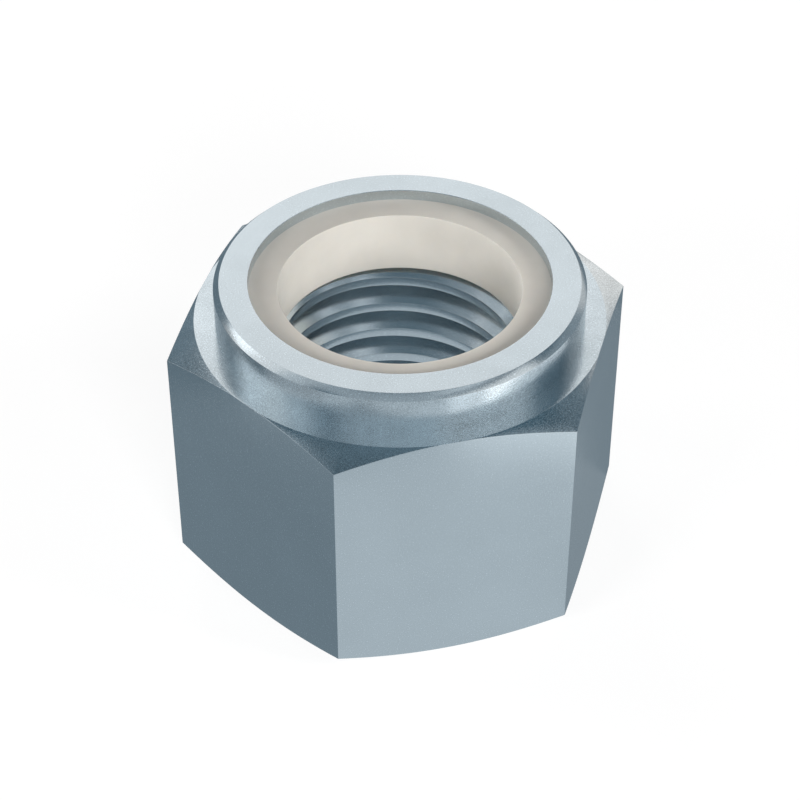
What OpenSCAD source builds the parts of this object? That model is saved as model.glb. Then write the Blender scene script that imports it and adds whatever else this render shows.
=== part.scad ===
// Nylon insert lock nut, tall pattern, in millimetres
// A hexagon nut with a collar whose rim is rolled in over a nylon ring
// The origin is the centre of the bearing face, and +Z runs up the thread to the collar

/* [Thread] */
// Nominal diameter of the thread
thread_d = 24; // [15:0.5:25]
// Distance from one turn of the thread to the next
pitch = 3; // [1:0.25:3.5]
// How much wider the countersink is than the thread, on each side
countersink_margin = 0.6; // [0.1:0.1:1.5]
// Slope of the countersink against the bearing face
countersink_angle = 30; // [20:1:50]

/* [Hexagon] */
// Width across the flats
across_flats = 36; // [34.5:0.5:50]
// Height over all, from the bearing face to the rim
nut_h = 28; // [16:0.5:45]
// How far the edge of the bearing face lies inside the flats
bearing_inset = 0.6; // [0.2:0.1:2]
// How far the circle of the flat shoulder passes the middle of each flat
shoulder_margin = 0.05; // [0.02:0.01:0.3]
// Slope of the corner chamfers against the end faces
chamfer_angle = 23.5; // [15:0.5:30]

/* [Collar] */
// Height of the collar above the shoulder of the hexagon
collar_h = 3.8; // [3:0.1:6]
// How far the collar stands in from the flats
collar_inset = 1.8; // [1.2:0.1:2.6]
// Thickness of the collar's wall round the ring
collar_wall = 1.5; // [0.8:0.1:2]
// Thickness of the rim that is rolled in over the ring
rim_t = 1; // [0.6:0.1:1.6]
// How far the rim reaches in over the ring
rim_reach = 1.5; // [0.8:0.1:1.9]
// Bevel on the outer edge of the rim
rim_bevel = 0.5; // [0.1:0.05:0.9]
// Inside radius of the bend from the wall to the rim
bend_r = 0.6; // [0.2:0.05:0.7]

/* [Nylon ring] */
// Height of the ring
ring_h = 5.9; // [3:0.1:8]
// How much smaller the ring's hole is than the thread, on each side
ring_bite = 1.35; // [0.8:0.05:1.6]
// Gap left between the ring and the wall of its pocket
ring_gap = 0.05; // [0.02:0.01:0.2]

/* [Hidden] */
$fn = 128;

// Allowance by which cutting shapes pass the faces that they cut
over = 1;

// An ISO metric thread leaves a bore narrower than the thread by 5/8 of its sharp height on each side
sharp_h = pitch * sqrt(3) / 2;
bore_r = thread_d / 2 - 5 / 8 * sharp_h;
countersink_r = thread_d / 2 + countersink_margin;

flat_r = across_flats / 2;
corner_r = flat_r / cos(30);
bearing_r = flat_r - bearing_inset;

shoulder_z = nut_h - collar_h;
shoulder_r = flat_r + shoulder_margin;
collar_r = flat_r - collar_inset;

pocket_r = collar_r - collar_wall;
rim_r = pocket_r - rim_reach;
rim_z = nut_h - rim_t;
seat_z = rim_z - ring_h;
ring_hole_r = thread_d / 2 - ring_bite;

// Turned blank: a chamfer cone at each end of the hexagon, then the flat shoulder and the collar
module blank_outline() {
    reach = corner_r + over;
    slope = tan(chamfer_angle);
    polygon([
        [0, 0],
        [bearing_r, 0],
        [reach, (reach - bearing_r) * slope],
        [reach, shoulder_z - (reach - shoulder_r) * slope],
        [shoulder_r, shoulder_z],
        [collar_r, shoulder_z],
        [collar_r, nut_h - rim_bevel],
        [collar_r - rim_bevel, nut_h],
        [0, nut_h]
    ]);
}

// Room for the ring, from the seat to the rim, with the bend's radius in its upper corner
// A ring drawn with a gap keeps that distance from the pocket's wall and the bend
module pocket_outline(gap = 0) {
    wall_r = pocket_r - gap;
    translate([0, seat_z]) {
        square([wall_r, ring_h - bend_r]);
        square([wall_r - bend_r, ring_h]);
        translate([wall_r - bend_r, ring_h - bend_r]) circle(bend_r);
    }
}

// Everything that is hollow: countersink, bore, pocket and the rim's opening
module hollow_outline() {
    slope = tan(countersink_angle);
    polygon([
        [0, -over],
        [countersink_r + over / slope, -over],
        [bore_r, (countersink_r - bore_r) * slope],
        [bore_r, seat_z + over],
        [0, seat_z + over]
    ]);
    pocket_outline();
    translate([0, rim_z - over]) square([rim_r, rim_t + 2 * over]);
}

// Steel body, one piece from the bearing face to the rolled rim, with two flats square to Y
module nut_body() {
    color("lightsteelblue")
    difference() {
        intersection() {
            cylinder(h = nut_h, r = corner_r, $fn = 6);
            rotate_extrude() blank_outline();
        }
        rotate_extrude() hollow_outline();
    }
}

// Nylon ring, held between its seat in the body and the rim
module nylon_ring() {
    color("linen")
    rotate_extrude()
    difference() {
        pocket_outline(ring_gap);
        translate([0, seat_z - over]) square([ring_hole_r, ring_h + 2 * over]);
    }
}

nut_body();
nylon_ring();
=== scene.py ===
# Nylon insert lock nut: zinc-plated steel body with its thread, and the nylon ring under the rolled rim
import math

import bmesh
import bpy
import numpy as np
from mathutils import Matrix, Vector


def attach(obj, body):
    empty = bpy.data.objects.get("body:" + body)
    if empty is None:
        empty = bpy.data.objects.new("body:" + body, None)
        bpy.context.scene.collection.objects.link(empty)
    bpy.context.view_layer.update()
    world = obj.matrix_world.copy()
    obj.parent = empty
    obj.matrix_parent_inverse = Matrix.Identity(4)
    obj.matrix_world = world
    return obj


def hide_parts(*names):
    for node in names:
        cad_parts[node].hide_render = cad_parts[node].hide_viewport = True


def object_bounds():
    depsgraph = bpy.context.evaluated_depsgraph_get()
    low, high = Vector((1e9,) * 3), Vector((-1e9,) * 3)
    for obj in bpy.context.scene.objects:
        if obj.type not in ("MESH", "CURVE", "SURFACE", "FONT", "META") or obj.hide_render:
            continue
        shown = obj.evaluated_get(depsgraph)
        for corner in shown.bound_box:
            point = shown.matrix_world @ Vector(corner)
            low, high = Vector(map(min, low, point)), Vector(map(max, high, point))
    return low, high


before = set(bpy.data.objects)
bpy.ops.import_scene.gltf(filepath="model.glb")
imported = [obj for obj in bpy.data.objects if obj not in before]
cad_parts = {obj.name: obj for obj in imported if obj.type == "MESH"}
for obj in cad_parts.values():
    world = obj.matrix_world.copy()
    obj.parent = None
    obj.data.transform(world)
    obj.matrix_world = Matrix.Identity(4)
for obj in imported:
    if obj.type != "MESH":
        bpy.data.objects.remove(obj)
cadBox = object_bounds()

mm = 0.001
mergeDistance = 0.0005 * mm   # points closer than this become one
arcStep = 15.0                # degrees between the points of a rounded edge, at most
sharpAngle = 21.0             # degrees between two faces, past which their edge is sharp
slack = 1e-9                  # allowance for rounding, on angles
print("frame loaded, box", [round(v / mm, 3) for corner in cadBox for v in corner])


# Surfaces shared by all pieces

def roundedProfile(corners, radii, step=arcStep):
    # Open line through the corners, in radius and height: a corner with a radius becomes a tangent arc,
    # which leaves the two sides at radius times the tangent of half the turn
    straight = 1e-4        # a smaller turn, in radians, gets no arc
    points = [corners[0]]
    for before, corner, after, radius in zip(corners, corners[1:], corners[2:], radii[1:]):
        before, corner, after = (np.array(p, float) for p in (before, corner, after))
        back = (before - corner) / np.linalg.norm(before - corner)
        ahead = (after - corner) / np.linalg.norm(after - corner)
        turn = math.pi - math.acos(np.clip(back @ ahead, -1, 1))
        if radius == 0 or turn < straight:
            points.append(tuple(corner))
            continue
        reach = radius * math.tan(turn / 2)
        middle = back + ahead
        centre = corner + middle / np.linalg.norm(middle) * radius / math.cos(turn / 2)
        start = corner + back * reach - centre
        side = np.array([-start[1], start[0]])
        if side @ ahead < 0:
            side = -side
        count = max(1, math.ceil(math.degrees(turn) / step))
        sweep = np.linspace(0, turn, count + 1)[:, None]
        points += [tuple(p) for p in centre + start * np.cos(sweep) + side * np.sin(sweep)]
    points.append(corners[-1])
    return np.array(points, float)


def gridMesh(name, points, closed=False):
    # Each face joins a point of the grid to the next one in its row and to the two above them.
    # In a closed grid the last row joins the first.
    rows, columns = points.shape[:2]
    row = np.arange(rows if closed else rows - 1)[:, None]
    column = np.arange(columns - 1)[None, :]
    here = row * columns + column
    above = (row + 1) % rows * columns + column
    faces = np.stack([here, here + 1, above + 1, above], axis=-1).reshape(-1, 4)
    mesh = bpy.data.meshes.new(name)
    mesh.from_pydata(points.reshape(-1, 3).tolist(), [], faces.tolist())
    return mesh


def closedSurface(name, radius, height, angles):
    # Rows of the section carried round the axis: x is the radius times the cosine of the angle, y the radius
    # times its sine, z the height. The section closes on itself and the last column lies on the first,
    # so merging doubles closes the solid.
    radius, height, angles = np.broadcast_arrays(radius, height, angles[None, :])
    points = np.stack([radius * np.cos(angles), radius * np.sin(angles), height], axis=-1) * mm
    mesh = gridMesh(name, points, closed=True)
    work = bmesh.new()
    work.from_mesh(mesh)
    bmesh.ops.remove_doubles(work, verts=work.verts, dist=mergeDistance)
    bmesh.ops.dissolve_degenerate(work, edges=work.edges, dist=mergeDistance)
    bmesh.ops.recalc_face_normals(work, faces=work.faces)
    work.to_mesh(mesh)
    openEdges = sum(1 for edge in work.edges if not edge.is_manifold)
    triangles = sum(len(face.verts) - 2 for face in work.faces)
    work.free()
    mesh.shade_smooth()
    mesh.set_sharp_from_angle(angle=math.radians(sharpAngle))
    piece = bpy.data.objects.new(name, mesh)
    bpy.context.scene.collection.objects.link(piece)
    print(name, "has", triangles, "triangles and", openEdges, "open edges")
    return piece


# Steel body, in millimetres. The width across the flats and the height come from the frame.

steelBody = dict(
    flatR=round(cadBox[1][1] / mm, 3),     # axis to the middle of a flat
    height=round(cadBox[1][2] / mm, 3),
    cornerRound=0.03,      # radius on the upright edges of the hexagon
    edgeRound=0.02,        # radius on the turned edges
    bearingInset=0.6,      # how far the edge of the bearing face lies inside the flats
    chamferSlope=23.5,     # corner chamfers against the end faces, degrees
    shoulderMargin=0.05,   # how far the flat shoulder passes the middle of each flat
    collarHeight=3.8,
    collarInset=1.8,       # how far the collar stands in from the flats
    collarWall=1.5,
    rimThickness=1.0,
    rimReach=1.5,          # how far the rim reaches in over the ring
    rimBevel=0.5,
    bendR=0.6,             # inside radius of the bend from the wall to the rim
    ringHeight=5.9,        # height of the pocket, which the ring fills
    edgeKeep=0.08,         # a point this far from a rounded edge keeps the face beside it flat
    columnStep=1.5,        # degrees between columns
)
thread = dict(
    majorR=12.0,
    pitch=3.0,
    flankAngle=30.0,       # each flank against a plane square to the axis, degrees
    crestFlat=0.88,
    crestZ=0.742,          # lower edge of a crest at angle 0
    crestRound=0.035,
    rootRound=0.2,
    roundStep=20.0,        # degrees between the points of those two
    countersinkMargin=0.6,
    countersinkSlope=30.0,
)


def workOutSizes(body, thread):
    # Radii run inwards from the flats and heights down from the rim. A metric thread leaves a bore narrower
    # than the thread by 5/8 of its sharp height on each side.
    body["bearingR"] = body["flatR"] - body["bearingInset"]
    body["shoulderR"] = body["flatR"] + body["shoulderMargin"]
    body["collarR"] = body["flatR"] - body["collarInset"]
    body["pocketR"] = body["collarR"] - body["collarWall"]
    body["rimR"] = body["pocketR"] - body["rimReach"]
    body["shoulderZ"] = body["height"] - body["collarHeight"]
    body["rimZ"] = body["height"] - body["rimThickness"]
    body["seatZ"] = body["rimZ"] - body["ringHeight"]
    sharpHeight = thread["pitch"] * math.sqrt(3) / 2
    thread["minorR"] = round(thread["majorR"] - 5 / 8 * sharpHeight, 4)
    thread["countersinkR"] = thread["majorR"] + thread["countersinkMargin"]


workOutSizes(steelBody, thread)


def cornerArc():
    # The small circle that rounds an upright edge touches both flats. From the axis, its centre lies at the
    # flat's distance less the circle's radius, over the cosine of 30 degrees. It meets a flat half a radius
    # to the side of its centre. That centre's distance and the angle of that meeting come back.
    radius = steelBody["cornerRound"]
    centre = (steelBody["flatR"] - radius) / math.cos(math.pi / 6)
    meets = math.atan2(radius / 2, centre + radius * math.cos(math.pi / 6))
    return centre, meets


def hexagonColumns(step):
    # Angles round the axis: even steps, and a closer set across each upright edge of the hexagon, in which
    # 1 stands for the angle where the rounding meets a flat
    edgeShares = np.array([-2.6, -1, -0.72, -0.36, 0, 0.36, 0.72, 1, 2.6])
    across = np.degrees(cornerArc()[1]) * edgeShares
    even = np.arange(step, 60 - step / 2, step)
    sector = np.concatenate([across, even])
    angles = (sector[None, :] + np.arange(7)[:, None] * 60).ravel()
    angles = np.sort(angles[(angles > -slack) & (angles < 360 + slack)])
    return np.radians(angles)


def hexagonRadius(angles):
    # Distance from the axis to the hexagon: the flat's distance over the cosine of the angle from its
    # middle, and across an upright edge the far side of the small circle that touches both flats
    centre, meets = cornerArc()
    offset = (angles + math.pi / 6) % (math.pi / 3) - math.pi / 6
    flat = steelBody["flatR"] / np.cos(math.pi / 6 - np.abs(offset))
    depth = np.maximum(steelBody["cornerRound"] ** 2 - (centre * np.sin(offset)) ** 2, 0)
    rounded = centre * np.cos(offset) + np.sqrt(depth)
    return np.where(np.abs(offset) < meets + slack, rounded, flat)


def outerRows(angles):
    # The outside from the bearing face up to the shoulder. In each upright plane a disc of the edge radius
    # rolls inside bearing face, chamfer, flat, chamfer and shoulder, and touches them at the angles given
    # in degrees.
    body = steelBody
    edge = body["edgeRound"]
    keep = body["edgeKeep"]
    chamfer = body["chamferSlope"]
    outward, upward = math.sin(math.radians(chamfer)), math.cos(math.radians(chamfer))
    side = hexagonRadius(angles)
    discR = side - edge
    lowZ = (outward * (discR - body["bearingR"]) + edge) / upward
    lowR = np.full_like(side, body["bearingR"] - edge * (1 - upward) / outward)
    topLine = outward * body["shoulderR"] + upward * body["shoulderZ"] - edge
    highZ = np.minimum((topLine - outward * discR) / upward, body["shoulderZ"] - edge)
    highR = np.minimum((topLine - upward * (body["shoulderZ"] - edge)) / outward, discR)
    rows = []

    def disc(centreR, centreZ, fromAngle, toAngle):
        count = math.ceil((toAngle - fromAngle) / arcStep) + 1
        for angle in np.radians(np.linspace(fromAngle, toAngle, count)):
            rows.append((centreR + edge * math.cos(angle), centreZ + edge * math.sin(angle)))

    rows.append((lowR - keep, np.zeros_like(side)))
    disc(lowR, np.full_like(side, edge), -90, chamfer - 90)
    disc(discR, lowZ, chamfer - 90, 0)
    rows.append((side, lowZ + keep))
    rows.append((side, highZ - keep))
    disc(discR, highZ, 0, 90 - chamfer)
    disc(highR, np.full_like(side, body["shoulderZ"] - edge), 90 - chamfer, 90)
    rows.append((highR - keep, np.full_like(side, body["shoulderZ"])))
    return [np.array(part) for part in zip(*rows)]


def collarLine():
    # From the shoulder over the collar and its rolled rim, and down the pocket to the seat of the ring
    body = steelBody
    bevel = body["rimBevel"]
    keep = body["edgeKeep"]
    edge = body["edgeRound"]
    corners = [
        (body["collarR"] + keep, body["shoulderZ"]),
        (body["collarR"], body["shoulderZ"]),
        (body["collarR"], body["height"] - bevel - keep),
        (body["collarR"], body["height"] - bevel),
        (body["collarR"] - bevel, body["height"]),
        (body["collarR"] - bevel - keep, body["height"]),
        (body["rimR"] + 2 * keep, body["height"]),
        (body["rimR"], body["height"]),
        (body["rimR"], body["height"] - 2 * keep),
        (body["rimR"], body["rimZ"]),
        (body["pocketR"], body["rimZ"]),
        (body["pocketR"], body["seatZ"]),
    ]
    radii = [0, 0, 0, edge, edge, 0, 0, 2 * edge, 0, edge, body["bendR"], 0]
    return roundedProfile(corners, radii)


def threadRadius(height, angles):
    # The thread's profile, read at the height less what the helix has climbed at that angle
    major, minor = thread["majorR"], thread["minorR"]
    turn, crest = thread["pitch"], thread["crestFlat"]
    crestRound, rootRound = thread["crestRound"], thread["rootRound"]
    flank = (major - minor) * math.tan(math.radians(thread["flankAngle"]))
    root = turn - crest - 2 * flank
    corners = [
        (-flank - root / 2, major),
        (-flank, major),
        (0, minor),
        (crest, minor),
        (crest + flank, major),
        (crest + flank + root / 2, major),
    ]
    radii = [0, rootRound, crestRound, crestRound, rootRound, 0]
    line = roundedProfile(corners, radii, step=thread["roundStep"])
    along = (height - thread["crestZ"] - turn * angles / (2 * math.pi) - line[0, 0]) % turn + line[0, 0]
    return line, np.interp(along, line[:, 0], line[:, 1])


def threadRows(angles):
    # Rows that climb with the helix, held between the bearing face and the ring's seat, and rows where the
    # thread runs into the countersink. The radius is the larger of thread and countersink.
    top = steelBody["seatZ"]
    turnsBelow = 2         # turns that start under the bearing face
    crossings = 3          # times that thread and countersink cross in an upright plane, at most
    slope = math.tan(math.radians(thread["countersinkSlope"]))
    countersinkEnd = (thread["countersinkR"] - thread["minorR"]) * slope
    line = threadRadius(np.zeros((1, 1)), angles[None, :])[0][:-1, 0]
    turns = np.arange(-turnsBelow, math.ceil(top / thread["pitch"]) + 1)
    starts = (line[None, :] + thread["crestZ"] + turns[:, None] * thread["pitch"]).ravel()
    climb = thread["pitch"] * angles / (2 * math.pi)

    def countersink(height):
        return thread["countersinkR"] - height / slope

    height = np.clip(starts[:, None] + climb[None, :], 0, top)
    fixed = np.array([countersinkEnd, 0, top])[:, None] * np.ones((1, len(angles)))
    height = np.sort(np.concatenate([height, fixed]), axis=0)
    gap = threadRadius(height, angles[None, :])[1] - countersink(height)
    fall = gap[:-1] - gap[1:]
    crossing = height[:-1] + np.diff(height, axis=0) * gap[:-1] / np.where(fall == 0, 1, fall)
    crossing = np.where(gap[:-1] * gap[1:] < 0, crossing, 0)
    crossing = np.sort(crossing, axis=0)[-crossings:]
    height = np.sort(np.concatenate([height, crossing]), axis=0)[::-1]
    radius = np.maximum(threadRadius(height, angles[None, :])[1], countersink(height))
    return radius, height


# How much of the plating's grain each kind of face shows
grainShare = dict(
    chamfers=1.0,
    shoulder=0.6,
    collar=0.9,
    bevel=0.5,
    flats=0.12,
    rim=0.25,
    bore=0.1,
)


def markGrain(mesh):
    # Faces are told apart by their middle's distance from the axis and height, and by how level they lie.
    # A later line overrules an earlier one.
    body = steelBody
    near, nearRim, nearFlat = 0.01, 0.05, 0.1    # millimetres
    level, upright = 0.99, 0.02                  # upward part of the normal, at least and at most
    count = len(mesh.polygons)
    normals, centres = np.empty(count * 3), np.empty(count * 3)
    mesh.polygons.foreach_get("normal", normals)
    mesh.polygons.foreach_get("center", centres)
    normals, centres = normals.reshape(-1, 3), centres.reshape(-1, 3) / mm
    reach = np.hypot(centres[:, 0], centres[:, 1])
    height = centres[:, 2]
    lies = np.abs(normals[:, 2])
    share = np.full(count, grainShare["chamfers"])
    share[lies > level] = grainShare["shoulder"]
    share[reach < body["collarR"] + near] = grainShare["collar"]
    share[(reach > body["flatR"] - nearFlat) & (lies < upright)] = grainShare["flats"]
    share[height > body["height"] - body["rimBevel"]] = grainShare["bevel"]
    share[height > body["height"] - near] = grainShare["rim"]
    share[reach < body["rimR"] + nearRim] = grainShare["rim"]
    share[reach < thread["countersinkR"]] = grainShare["bore"]
    mesh.attributes.new("grainShare", "FLOAT", "FACE").data.foreach_set("value", share.astype(np.float32))


def makeSteelBody():
    # One section for each column: up the outside, over the collar, down the pocket and down the thread
    angles = hexagonColumns(steelBody["columnStep"])
    ones = np.ones((1, len(angles)))
    outsideR, outsideZ = outerRows(angles)
    collar = collarLine()
    insideR, insideZ = threadRows(angles)
    radius = np.concatenate([outsideR, collar[:, :1] * ones, insideR])
    height = np.concatenate([outsideZ, collar[:, 1:] * ones, insideZ])
    body = closedSurface("lockNutBody", radius, height, angles)
    markGrain(body.data)
    return body


# Nylon ring, in millimetres. It sits in the body's pocket.

nylonInsert = dict(
    bite=1.35,             # how much smaller its hole is than the thread, on each side
    gap=0.05,              # between the ring and the wall of its pocket
    holeRound=0.02,        # radius where the hole meets the upper face
    lowerRound=0.06,       # radius where it meets the lower face
    edgeKeep=0.15,         # a point this far from a rounded edge keeps the face beside it flat
    columns=240,
)


def makeNylonRing():
    # One section line, closed on itself, turned round the axis
    ring = nylonInsert
    keep = ring["edgeKeep"]
    bottom, top, bend = steelBody["seatZ"], steelBody["rimZ"], steelBody["bendR"]
    wall = steelBody["pocketR"] - ring["gap"]
    hole = thread["majorR"] - ring["bite"]
    corners = [
        (wall, bottom),
        (wall, top),
        (wall - bend - 2 * keep, top),
        (hole + ring["holeRound"] + keep, top),
        (hole, top),
        (hole, top - ring["holeRound"] - keep),
        (hole, bottom + 2 * keep),
        (hole, bottom),
        (hole + 2 * keep, bottom),
    ]
    radii = [0, bend, 0, 0, ring["holeRound"], 0, 0, ring["lowerRound"], 0]
    line = roundedProfile(corners, radii)
    angles = np.radians(np.linspace(0, 360, ring["columns"] + 1))
    return closedSurface("nylonRing", line[:, :1], line[:, 1:], angles)


# Finishes

noiseRange = (0.3, 0.7)    # most of a noise lies between these


def newMaterial(name):
    material = bpy.data.materials.new(name)
    material.use_nodes = True
    nodes = material.node_tree.nodes
    links = material.node_tree.links
    nodes.clear()
    output = nodes.new("ShaderNodeOutputMaterial")
    return material, nodes, links, output


def noiseAt(nodes, links, place, scale, detail=2.0, rough=0.5):
    noise = nodes.new("ShaderNodeTexNoise")
    noise.inputs["Scale"].default_value = scale
    noise.inputs["Detail"].default_value = detail
    noise.inputs["Roughness"].default_value = rough
    links.new(place, noise.inputs["Vector"])
    return noise.outputs["Fac"]


def spread(nodes, links, value, fromLow, fromHigh, toLow, toHigh):
    change = nodes.new("ShaderNodeMapRange")
    change.inputs["From Min"].default_value = fromLow
    change.inputs["From Max"].default_value = fromHigh
    change.inputs["To Min"].default_value = toLow
    change.inputs["To Max"].default_value = toHigh
    links.new(value, change.inputs["Value"])
    return change.outputs["Result"]


def mathNode(nodes, links, operation, *values):
    # A number is set on its socket, anything else is linked to it
    node = nodes.new("ShaderNodeMath")
    node.operation = operation
    for socket, value in zip(node.inputs, values):
        if isinstance(value, (int, float)):
            socket.default_value = value
        else:
            links.new(value, socket)
    return node.outputs[0]


def shadeMix(nodes, links, finish, factor):
    # The finish's colour, from its duller shade at factor 0 to its brighter one at 1
    tint = nodes.new("ShaderNodeMix")
    tint.data_type = "RGBA"
    low = [c * finish["shadeLow"] for c in finish["colour"]]
    high = [c * finish["shadeHigh"] for c in finish["colour"]]
    tint.inputs["A"].default_value = (*low, 1)
    tint.inputs["B"].default_value = (*high, 1)
    links.new(factor, tint.inputs["Factor"])
    return tint.outputs["Result"]


def grainRoughness(nodes, links, finish, grain):
    # Roughness goes up and down with the grains
    low = finish["roughness"] - finish["roughnessSpread"]
    high = finish["roughness"] + finish["roughnessSpread"]
    return spread(nodes, links, grain, *noiseRange, low, high)


zincSteel = dict(
    colour=(0.640, 0.712, 0.752),
    shadeLow=0.74,         # colour in the duller grains, where a face carries the full share of them
    shadeHigh=1.26,
    roughness=0.205,
    roughnessSpread=0.015,
    grain=9000.0,          # noise scale of the plating's crystals
    grainWeight=0.7,
    cloud=160.0,           # noise scale of the broad unevenness
    cloudWeight=0.3,
    glintFrom=0.64,        # grains above this height get a painted glint, a brighter colour in place of light they catch
    glintWidth=0.08,       # and are at their brightest this much higher
    glintStrength=0.5,             # how far a painted glint goes towards the brighter colour
    bump=1.0,
    bumpDepth=0.000007,
)


def zincPlate():
    finish = zincSteel
    material, nodes, links, output = newMaterial("zincPlate")
    shader = nodes.new("ShaderNodeBsdfPrincipled")
    shader.inputs["Metallic"].default_value = 1.0
    place = nodes.new("ShaderNodeTexCoord").outputs["Object"]
    grain = noiseAt(nodes, links, place, finish["grain"], detail=1)
    cloud = noiseAt(nodes, links, place, finish["cloud"], detail=3, rough=0.55)
    attribute = nodes.new("ShaderNodeAttribute")
    attribute.attribute_name = "grainShare"
    share = attribute.outputs["Fac"]
    # colour: fine grains and faint clouds, duller or brighter than the middle shade by the share of the face
    clouds = spread(nodes, links, cloud, *noiseRange, 0.0, finish["cloudWeight"])
    both = mathNode(nodes, links, "MULTIPLY_ADD", grain, finish["grainWeight"], clouds)
    swing = spread(nodes, links, both, *noiseRange, -0.5, 0.5)
    speckle = mathNode(nodes, links, "MULTIPLY_ADD", swing, share, 0.5)
    # and a few painted glints: the brightest grains lifted towards the brighter colour, the same on every
    # face
    glintTop = finish["glintFrom"] + finish["glintWidth"]
    paintedGlints = spread(nodes, links, grain, finish["glintFrom"], glintTop, 0.0, finish["glintStrength"])
    factor = mathNode(nodes, links, "ADD", speckle, paintedGlints)
    links.new(shadeMix(nodes, links, finish, factor), shader.inputs["Base Color"])
    links.new(grainRoughness(nodes, links, finish, grain), shader.inputs["Roughness"])
    # bump: the same grains and shares
    bump = nodes.new("ShaderNodeBump")
    bump.inputs["Distance"].default_value = finish["bumpDepth"]
    links.new(spread(nodes, links, share, 0.0, 1.0, 0.0, finish["bump"]), bump.inputs["Strength"])
    links.new(grain, bump.inputs["Height"])
    links.new(bump.outputs["Normal"], shader.inputs["Normal"])
    links.new(shader.outputs[0], output.inputs["Surface"])
    return material


naturalNylon = dict(
    colour=(0.775, 0.742, 0.680),
    shadeLow=0.97,
    shadeHigh=1.02,
    roughness=0.42,
    roughnessSpread=0.05,
    ior=1.5,
    mottle=420.0,          # noise scale of the faint patches in its colour
    grain=3800.0,          # noise scale of its skin
    bump=0.05,
    bumpDepth=0.00002,
    underSkin=0.15,        # share of light that travels under the surface
    underSkinDepth=0.0008,
    underSkinReach=(1.0, 0.8, 0.6),   # of that depth, in red, green and blue
)


def ivoryNylon():
    finish = naturalNylon
    material, nodes, links, output = newMaterial("ivoryNylon")
    shader = nodes.new("ShaderNodeBsdfPrincipled")
    shader.inputs["Subsurface Weight"].default_value = finish["underSkin"]
    shader.inputs["Subsurface Scale"].default_value = finish["underSkinDepth"]
    shader.inputs["Subsurface Radius"].default_value = finish["underSkinReach"]
    shader.inputs["IOR"].default_value = finish["ior"]
    place = nodes.new("ShaderNodeTexCoord").outputs["Object"]
    mottle = noiseAt(nodes, links, place, finish["mottle"], detail=3)
    grain = noiseAt(nodes, links, place, finish["grain"])
    factor = spread(nodes, links, mottle, *noiseRange, 0.0, 1.0)
    links.new(shadeMix(nodes, links, finish, factor), shader.inputs["Base Color"])
    links.new(grainRoughness(nodes, links, finish, grain), shader.inputs["Roughness"])
    bump = nodes.new("ShaderNodeBump")
    bump.inputs["Strength"].default_value = finish["bump"]
    bump.inputs["Distance"].default_value = finish["bumpDepth"]
    links.new(grain, bump.inputs["Height"])
    links.new(bump.outputs["Normal"], shader.inputs["Normal"])
    links.new(shader.outputs[0], output.inputs["Surface"])
    return material


nutPiece = makeSteelBody()
nutPiece.data.materials.append(zincPlate())
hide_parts("nut_body")
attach(nutPiece, "root")

ringPiece = makeNylonRing()
ringPiece.data.materials.append(ivoryNylon())
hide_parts("nylon_ring")
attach(ringPiece, "root")
print("steel body and nylon ring in place")


# Studio, in metres

studio = dict(
    softLight=0.03,        # even light from all round on what isn't metal
    floorColour=0.22,      # the part of the floor's white that shadows can dim
    floorGlow=0.84,        # the rest of its white, for camera and reflections
    floorFade=(0.10, 0.60),   # there the rest rises to full white, so that no horizon shows
    floorHalf=3.0,         # half the floor's width
    floorDrop=0.00002,     # how far it lies under the nut
    middle=(0.0, 0.0, 0.014),   # what cards and lamps stand round
    cardDistance=0.5,
    cardGrid=(25, 13),     # points across and up a card
    floorCardLift=0.00002,
    floorCardGrid=(25, 3),
    cardDarkest=0.01,
    lampSize=0.22,
    lampDistance=0.6,
)


def backgroundRays(nodes, links):
    # 1 for rays from the camera, off metal and through glass, 0 for light on the object
    path = nodes.new("ShaderNodeLightPath").outputs
    seen = mathNode(nodes, links, "MAXIMUM", path["Is Camera Ray"], path["Is Glossy Ray"])
    return mathNode(nodes, links, "MAXIMUM", seen, path["Is Transmission Ray"])


def makeWorld():
    world = bpy.data.worlds.new("paleRoom")
    bpy.context.scene.world = world
    world.use_nodes = True
    nodes, links = world.node_tree.nodes, world.node_tree.links
    nodes.clear()
    output = nodes.new("ShaderNodeOutputWorld")
    room = nodes.new("ShaderNodeBackground")
    room.inputs["Color"].default_value = (1, 1, 1, 1)
    level = spread(nodes, links, backgroundRays(nodes, links), 0, 1, studio["softLight"], 1.0)
    links.new(level, room.inputs["Strength"])
    links.new(room.outputs[0], output.inputs["Surface"])


def makeFloor():
    # White paper: a dull part that takes shadows, and a glow that only the background rays see
    material, nodes, links, output = newMaterial("paleFloor")
    paper = nodes.new("ShaderNodeBsdfDiffuse")
    level = studio["floorColour"]
    paper.inputs["Color"].default_value = (level, level, level, 1)
    reach = nodes.new("ShaderNodeVectorMath")
    reach.operation = "LENGTH"
    links.new(nodes.new("ShaderNodeTexCoord").outputs["Object"], reach.inputs[0])
    white = spread(nodes, links, reach.outputs["Value"], *studio["floorFade"], studio["floorGlow"], 1.0)
    strength = mathNode(nodes, links, "MULTIPLY", white, backgroundRays(nodes, links))
    glow = nodes.new("ShaderNodeEmission")
    links.new(strength, glow.inputs["Strength"])
    total = nodes.new("ShaderNodeAddShader")
    links.new(paper.outputs[0], total.inputs[0])
    links.new(glow.outputs[0], total.inputs[1])
    links.new(total.outputs[0], output.inputs["Surface"])
    half, low = studio["floorHalf"], -studio["floorDrop"]
    mesh = bpy.data.meshes.new("floor")
    corners = [(-half, -half, low), (half, -half, low), (half, half, low), (-half, half, low)]
    mesh.from_pydata(corners, [], [(0, 1, 2, 3)])
    mesh.materials.append(material)
    floor = bpy.data.objects.new("floor", mesh)
    bpy.context.scene.collection.objects.link(floor)


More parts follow.
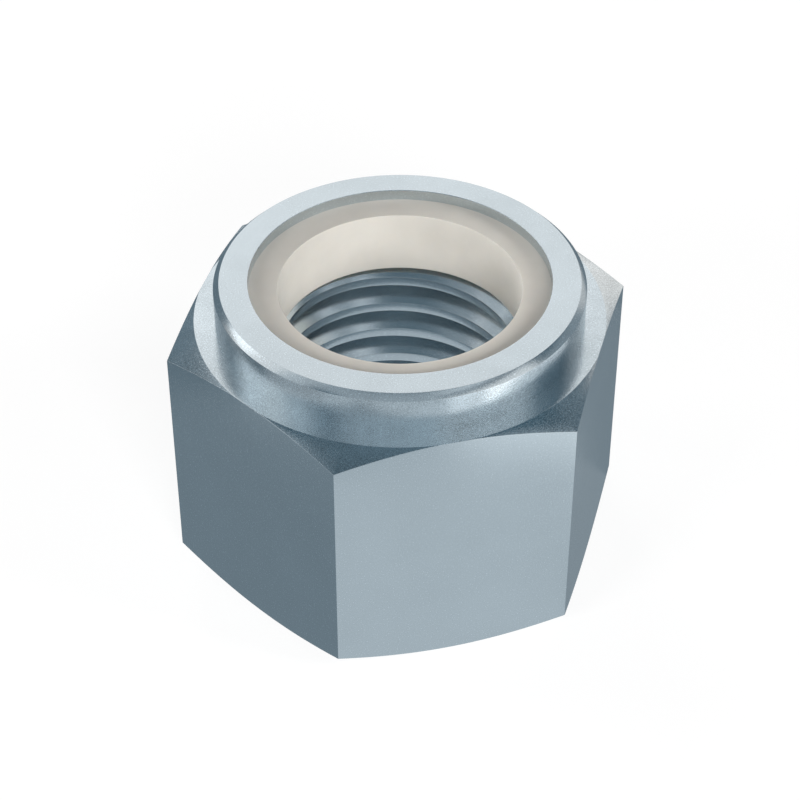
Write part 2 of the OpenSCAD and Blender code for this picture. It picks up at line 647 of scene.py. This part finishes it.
# The cards, as a photographer would set them round a shiny part. Azimuth and elevation are in degrees, rings
# on the floor in millimetres. A level of 1 is the white of the room, which the metal sees between the cards.
domeCards = [
    # left: a bright window with a wall either side, then a dark flag that draws the collar's edge
    dict(name="leftLow", azimuth=(140, 180), elevation=(-2, 18), level=0.45, tint="plain"),
    dict(name="leftWindow", azimuth=(140, 160), elevation=(18, 40), level=1.6, tint="plain"),
    dict(name="leftPanel", azimuth=(160, 180), elevation=(18, 54), level=1.0, tint="plain"),
    dict(name="leftWall", azimuth=(180, 200), elevation=(-2, 54), level=0.6),
    dict(name="leftFlag", azimuth=(200, 220), elevation=(-2, 40), level=0.1),
    # front: grey walls on the camera's side
    dict(name="frontLow", azimuth=(220, 280), elevation=(-2, 18), level=0.3),
    dict(name="frontWall", azimuth=(220, 280), elevation=(18, 40), level=0.5),
    dict(name="frontHigh", azimuth=(200, 280), elevation=(40, 54), level=0.4),
    # right: a pale wall, then dark flags
    dict(name="rightWall", azimuth=(280, 340), elevation=(-2, 40), level=0.9, tint="plain"),
    dict(name="rightLow", azimuth=(340, 380), elevation=(-2, 26), level=0.3),
    dict(name="rightFlag", azimuth=(340, 380), elevation=(26, 40), level=0.15),
    dict(name="rightFlagHigh", azimuth=(280, 420), elevation=(40, 47), level=0.15),
    dict(name="rightHigh", azimuth=(280, 360), elevation=(47, 54), level=0.7),
    # back: open to the white room between a warm panel and a dark flag
    dict(name="backRightWall", azimuth=(20, 40), elevation=(-2, 40), level=0.6, tint="plain"),
    dict(name="backPanel", azimuth=(40, 58), elevation=(-2, 26), level=0.9, tint="warm"),
    dict(name="backRightHigh", azimuth=(0, 80), elevation=(47, 54), level=0.2),
    dict(name="backFlag", azimuth=(94, 140), elevation=(-2, 40), level=0.2),
    dict(name="backLeftHigh", azimuth=(120, 160), elevation=(40, 54), level=0.45),
    # ceiling: dark, with a paler part in front and a bright one on the right
    dict(name="backCeiling", azimuth=(0, 150), elevation=(54, 68), level=0.1),
    dict(name="frontCeiling", azimuth=(150, 300), elevation=(54, 68), level=0.3),
    dict(name="rightSkylight", azimuth=(300, 330), elevation=(54, 68), level=0.7),
    dict(name="rightCeiling", azimuth=(330, 360), elevation=(54, 68), level=0.3),
    dict(name="overhead", azimuth=(0, 360), elevation=(68, 89.9), level=0.15),
]
floorCards = [
    dict(name="underBore", azimuth=(0, 360), ring=(0, 14), level=0.55),
    dict(name="frontNear", azimuth=(240, 300), ring=(16, 30), level=0.6),
    dict(name="frontRightNear", azimuth=(300, 360), ring=(16, 30), level=0.3),
    dict(name="frontRightStep", azimuth=(240, 360), ring=(30, 44), level=0.6),
    dict(name="backLeftNear", azimuth=(0, 240), ring=(16, 44), level=0.25),
    dict(name="backFar", azimuth=(0, 180), ring=(44, 500), level=0.2),
    dict(name="frontLeftFar", azimuth=(180, 280), ring=(44, 500), level=0.5),
    dict(name="frontFar", azimuth=(280, 300), ring=(44, 500), level=0.85),
    dict(name="frontRightFar", azimuth=(300, 320), ring=(44, 500), level=1.6, tint="plain"),
    dict(name="rightFar", azimuth=(320, 360), ring=(44, 500), level=0.8),
]
# what a tint adds to a level in red, green and blue; a card that names none is cool
cardTints = dict(cool=(-0.05, 0.0, 0.035), plain=(0.0, 0.0, 0.0), warm=(0.05, 0.0, -0.04))


def cardMesh(card):
    # A card bent to a piece of a sphere round the nut: azimuth and elevation run over its two sides
    acrossCount, upCount = studio["cardGrid"]
    across = np.radians(np.linspace(*card["azimuth"], acrossCount))[None, :]
    up = np.radians(np.linspace(*card["elevation"], upCount))[:, None]
    way = [np.cos(up) * np.cos(across), np.cos(up) * np.sin(across), np.sin(up) + 0 * across]
    points = np.stack(way, axis=-1) * studio["cardDistance"] + np.array(studio["middle"])
    return gridMesh(card["name"], points)


def floorCardMesh(card):
    # A card that lies on the floor round the nut: part of a ring between two radii
    acrossCount, outCount = studio["floorCardGrid"]
    across = np.radians(np.linspace(*card["azimuth"], acrossCount))[None, :]
    out = np.linspace(*card["ring"], outCount)[:, None] * mm
    lift = 0 * out * across + studio["floorCardLift"]
    return gridMesh(card["name"], np.stack([out * np.cos(across), out * np.sin(across), lift], axis=-1))


def placeCard(card, mesh):
    # A card is seen in reflections only: it lights nothing dull and casts no shadow
    material, nodes, links, output = newMaterial(card["name"])
    tint = cardTints[card.get("tint", "cool")]
    colour = [max(card["level"] + shift, studio["cardDarkest"]) for shift in tint]
    level = max(colour)
    glow = nodes.new("ShaderNodeEmission")
    glow.inputs["Color"].default_value = (*(c / level for c in colour), 1)
    glow.inputs["Strength"].default_value = level
    links.new(glow.outputs[0], output.inputs["Surface"])
    mesh.materials.append(material)
    holder = bpy.data.objects.new(card["name"], mesh)
    holder.visible_camera = False
    holder.visible_diffuse = False
    holder.visible_transmission = False
    holder.visible_shadow = False
    bpy.context.scene.collection.objects.link(holder)


# Lamps for the nylon, which is dull and mirrors little: three in front, and three low ones behind
lamps = [
    dict(name="frontLeftLamp", azimuth=210, elevation=25, power=1.25),
    dict(name="frontLamp", azimuth=270, elevation=25, power=2.0),
    dict(name="frontRightLamp", azimuth=330, elevation=25, power=1.75),
    dict(name="backRightLamp", azimuth=90, elevation=10, power=1.5),
    dict(name="backLamp", azimuth=120, elevation=10, power=1.5),
    dict(name="backLeftLamp", azimuth=150, elevation=10, power=1.5),
]


def softLamp(name, azimuth, elevation, power):
    # A square soft lamp that points at the nut and is seen in no reflection
    lamp = bpy.data.lights.new(name, "AREA")
    lamp.shape = "SQUARE"
    lamp.size = studio["lampSize"]
    lamp.energy = power
    holder = bpy.data.objects.new(name, lamp)
    turn, rise = math.radians(azimuth), math.radians(elevation)
    way = Vector((math.cos(rise) * math.cos(turn), math.cos(rise) * math.sin(turn), math.sin(rise)))
    holder.location = Vector(studio["middle"]) + way * studio["lampDistance"]
    holder.rotation_euler = (-way).to_track_quat("-Z", "Y").to_euler()
    holder.visible_glossy = False
    bpy.context.scene.collection.objects.link(holder)


def makeStudio():
    makeWorld()
    makeFloor()
    for card in domeCards:
        placeCard(card, cardMesh(card))
    for card in floorCards:
        placeCard(card, floorCardMesh(card))
    for lamp in lamps:
        softLamp(**lamp)
    print("studio ready:", len(domeCards) + len(floorCards), "cards and", len(lamps), "lamps")


makeStudio()


# Camera, in metres, degrees and the lens's own millimetres

cameraView = dict(
    aim=(0.0, 0.0, 0.01414),
    azimuth=-14.95,        # 0 looks along +Y
    elevation=39.95,
    distance=0.20088,
    lens=99.83,
    sensor=36.0,
    nearest=0.01,
    furthest=20.0,
)


def makeCamera():
    view = cameraView
    lens = bpy.data.cameras.new("photoCamera")
    lens.lens = view["lens"]
    lens.sensor_width = view["sensor"]
    lens.clip_start = view["nearest"]
    lens.clip_end = view["furthest"]
    camera = bpy.data.objects.new("photoCamera", lens)
    turn, rise = math.radians(view["azimuth"]), math.radians(view["elevation"])
    back = Vector((math.sin(turn) * math.cos(rise), -math.cos(turn) * math.cos(rise), math.sin(rise)))
    camera.location = Vector(view["aim"]) + back * view["distance"]
    camera.rotation_euler = (-back).to_track_quat("-Z", "Y").to_euler()
    bpy.context.scene.collection.objects.link(camera)
    bpy.context.scene.camera = camera


makeCamera()
bpy.context.scene.view_settings.view_transform = "Standard"
print("camera set")
